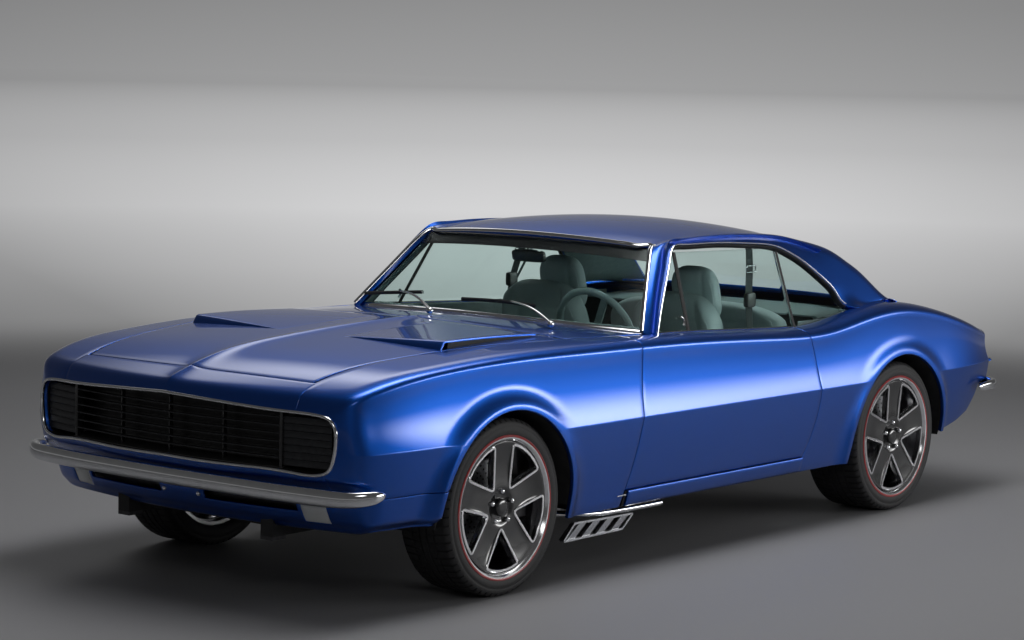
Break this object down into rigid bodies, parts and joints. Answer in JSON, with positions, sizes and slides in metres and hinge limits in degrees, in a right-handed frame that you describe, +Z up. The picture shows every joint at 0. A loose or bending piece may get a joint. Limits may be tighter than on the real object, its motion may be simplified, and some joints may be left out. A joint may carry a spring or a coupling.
{
  "type": "muscle car",
  "caption": "Low two-door fastback-roofed coupe with a wide slatted grille, vented hood, slim bumpers and large spoked wheels; doors, hood, deck lid, steering and wheels move.",
  "frame": {"origin": "on the ground under the middle of the length and width", "axes": "+X towards the nose, +Y towards the left side, +Z up"},
  "size_m": [4.6908, 1.8366, 1.3139],
  "materials": {
    "paint": "deep metallic blue",
    "black": "black satin",
    "chrome": "polished chrome",
    "steel": "plain steel",
    "iron": "dark cast iron",
    "alloy": "black and polished alloy",
    "tyre": "black rubber",
    "glass": "clear, slightly green",
    "lamp_clear": "clear lens",
    "lamp_red": "red lens",
    "leather": "teal grey leather",
    "trim": "grey green trim",
    "under": "black underside"
  },
  "bodies": {
    "body": {"floor_pan": "under", "wheelhouses_front": "under", "wheelhouses_rear": "under", "front_frame": "under", "tow_eyes": "iron", "engine_block": "iron", "driveline": "steel", "fuel_tank": "steel", "rear_axle": "iron", "exhaust": "chrome", "nose_panel": "paint", "front_valance": "paint", "grille": "black", "front_bumper": "chrome", "parking_lamps": "lamp_clear", "cowl_panel": "paint", "fender_left": "paint", "fender_right": "paint", "roof_shell": "paint", "fixed_glass": "glass", "quarter_left": "paint", "quarter_right": "paint", "rear_deck": "paint", "tail_panel": "paint", "rear_bumper": "chrome", "tail_lamps": "lamp_red", "front_seats": "leather", "rear_seat": "leather", "dashboard": "trim", "wipers": "chrome"},
    "hood": {"hood": "paint"},
    "deck_lid": {"deck_lid": "paint"},
    "door_left": {"door_left": "paint", "door_glass_left": "glass"},
    "door_right": {"door_right": "paint", "door_glass_right": "glass"},
    "steering_wheel": {"steering_wheel": "trim"},
    "knuckle_left": {"knuckle_left": "iron"},
    "knuckle_right": {"knuckle_right": "iron"},
    "wheel_front_left": {"tyre_front_left": "tyre", "wheel_front_left": "alloy", "disc_front_left": "steel"},
    "wheel_front_right": {"tyre_front_right": "tyre", "wheel_front_right": "alloy", "disc_front_right": "steel"},
    "wheel_rear_left": {"tyre_rear_left": "tyre", "wheel_rear_left": "alloy", "disc_rear_left": "steel"},
    "wheel_rear_right": {"tyre_rear_right": "tyre", "wheel_rear_right": "alloy", "disc_rear_right": "steel"}
  },
  "joints": [
    {"name": "hood_hinge", "type": "hinge", "parent": "body", "child": "hood", "pos_m": [0.9405, 0, 0.946], "axis": [0, -1, 0], "range_deg": [0, 50]},
    {"name": "deck_lid_hinge", "type": "hinge", "parent": "body", "child": "deck_lid", "pos_m": [-1.6795, 0, 0.9095], "axis": [0, 1, 0], "range_deg": [0, 70]},
    {"name": "door_left_hinge", "type": "hinge", "parent": "body", "child": "door_left", "pos_m": [0.6103, 0.906, 0.605], "axis": [0, 0, -1], "range_deg": [0, 65]},
    {"name": "door_right_hinge", "type": "hinge", "parent": "body", "child": "door_right", "pos_m": [0.6103, -0.906, 0.605], "axis": [0, 0, 1], "range_deg": [0, 65]},
    {"name": "steering_turn", "type": "hinge", "parent": "body", "child": "steering_wheel", "pos_m": [0.2225, 0.37, 0.872], "axis": [-0.9272, 0, 0.3746], "range_deg": [-450, 450]},
    {"name": "steer_left", "type": "hinge", "parent": "body", "child": "knuckle_left", "pos_m": [1.4135, 0.728, 0.335], "axis": [0, 0, 1], "range_deg": [-32, 32]},
    {"name": "steer_right", "type": "hinge", "parent": "body", "child": "knuckle_right", "pos_m": [1.4135, -0.728, 0.335], "axis": [0, 0, 1], "range_deg": [-32, 32]},
    {"name": "spin_front_left", "type": "hinge", "parent": "knuckle_left", "child": "wheel_front_left", "pos_m": [1.4135, 0.745, 0.335], "axis": [0, 1, 0], "continuous": true},
    {"name": "spin_front_right", "type": "hinge", "parent": "knuckle_right", "child": "wheel_front_right", "pos_m": [1.4135, -0.745, 0.335], "axis": [0, 1, 0], "continuous": true},
    {"name": "spin_rear_left", "type": "hinge", "parent": "body", "child": "wheel_rear_left", "pos_m": [-1.3325, 0.745, 0.335], "axis": [0, 1, 0], "continuous": true},
    {"name": "spin_rear_right", "type": "hinge", "parent": "body", "child": "wheel_rear_right", "pos_m": [-1.3325, -0.745, 0.335], "axis": [0, 1, 0], "continuous": true}
  ],
  "couplings": [
    {"joint": "steer_left", "follows": "steering_turn", "ratio": 0.071111},
    {"joint": "steer_right", "follows": "steering_turn", "ratio": 0.071111}
  ]
}
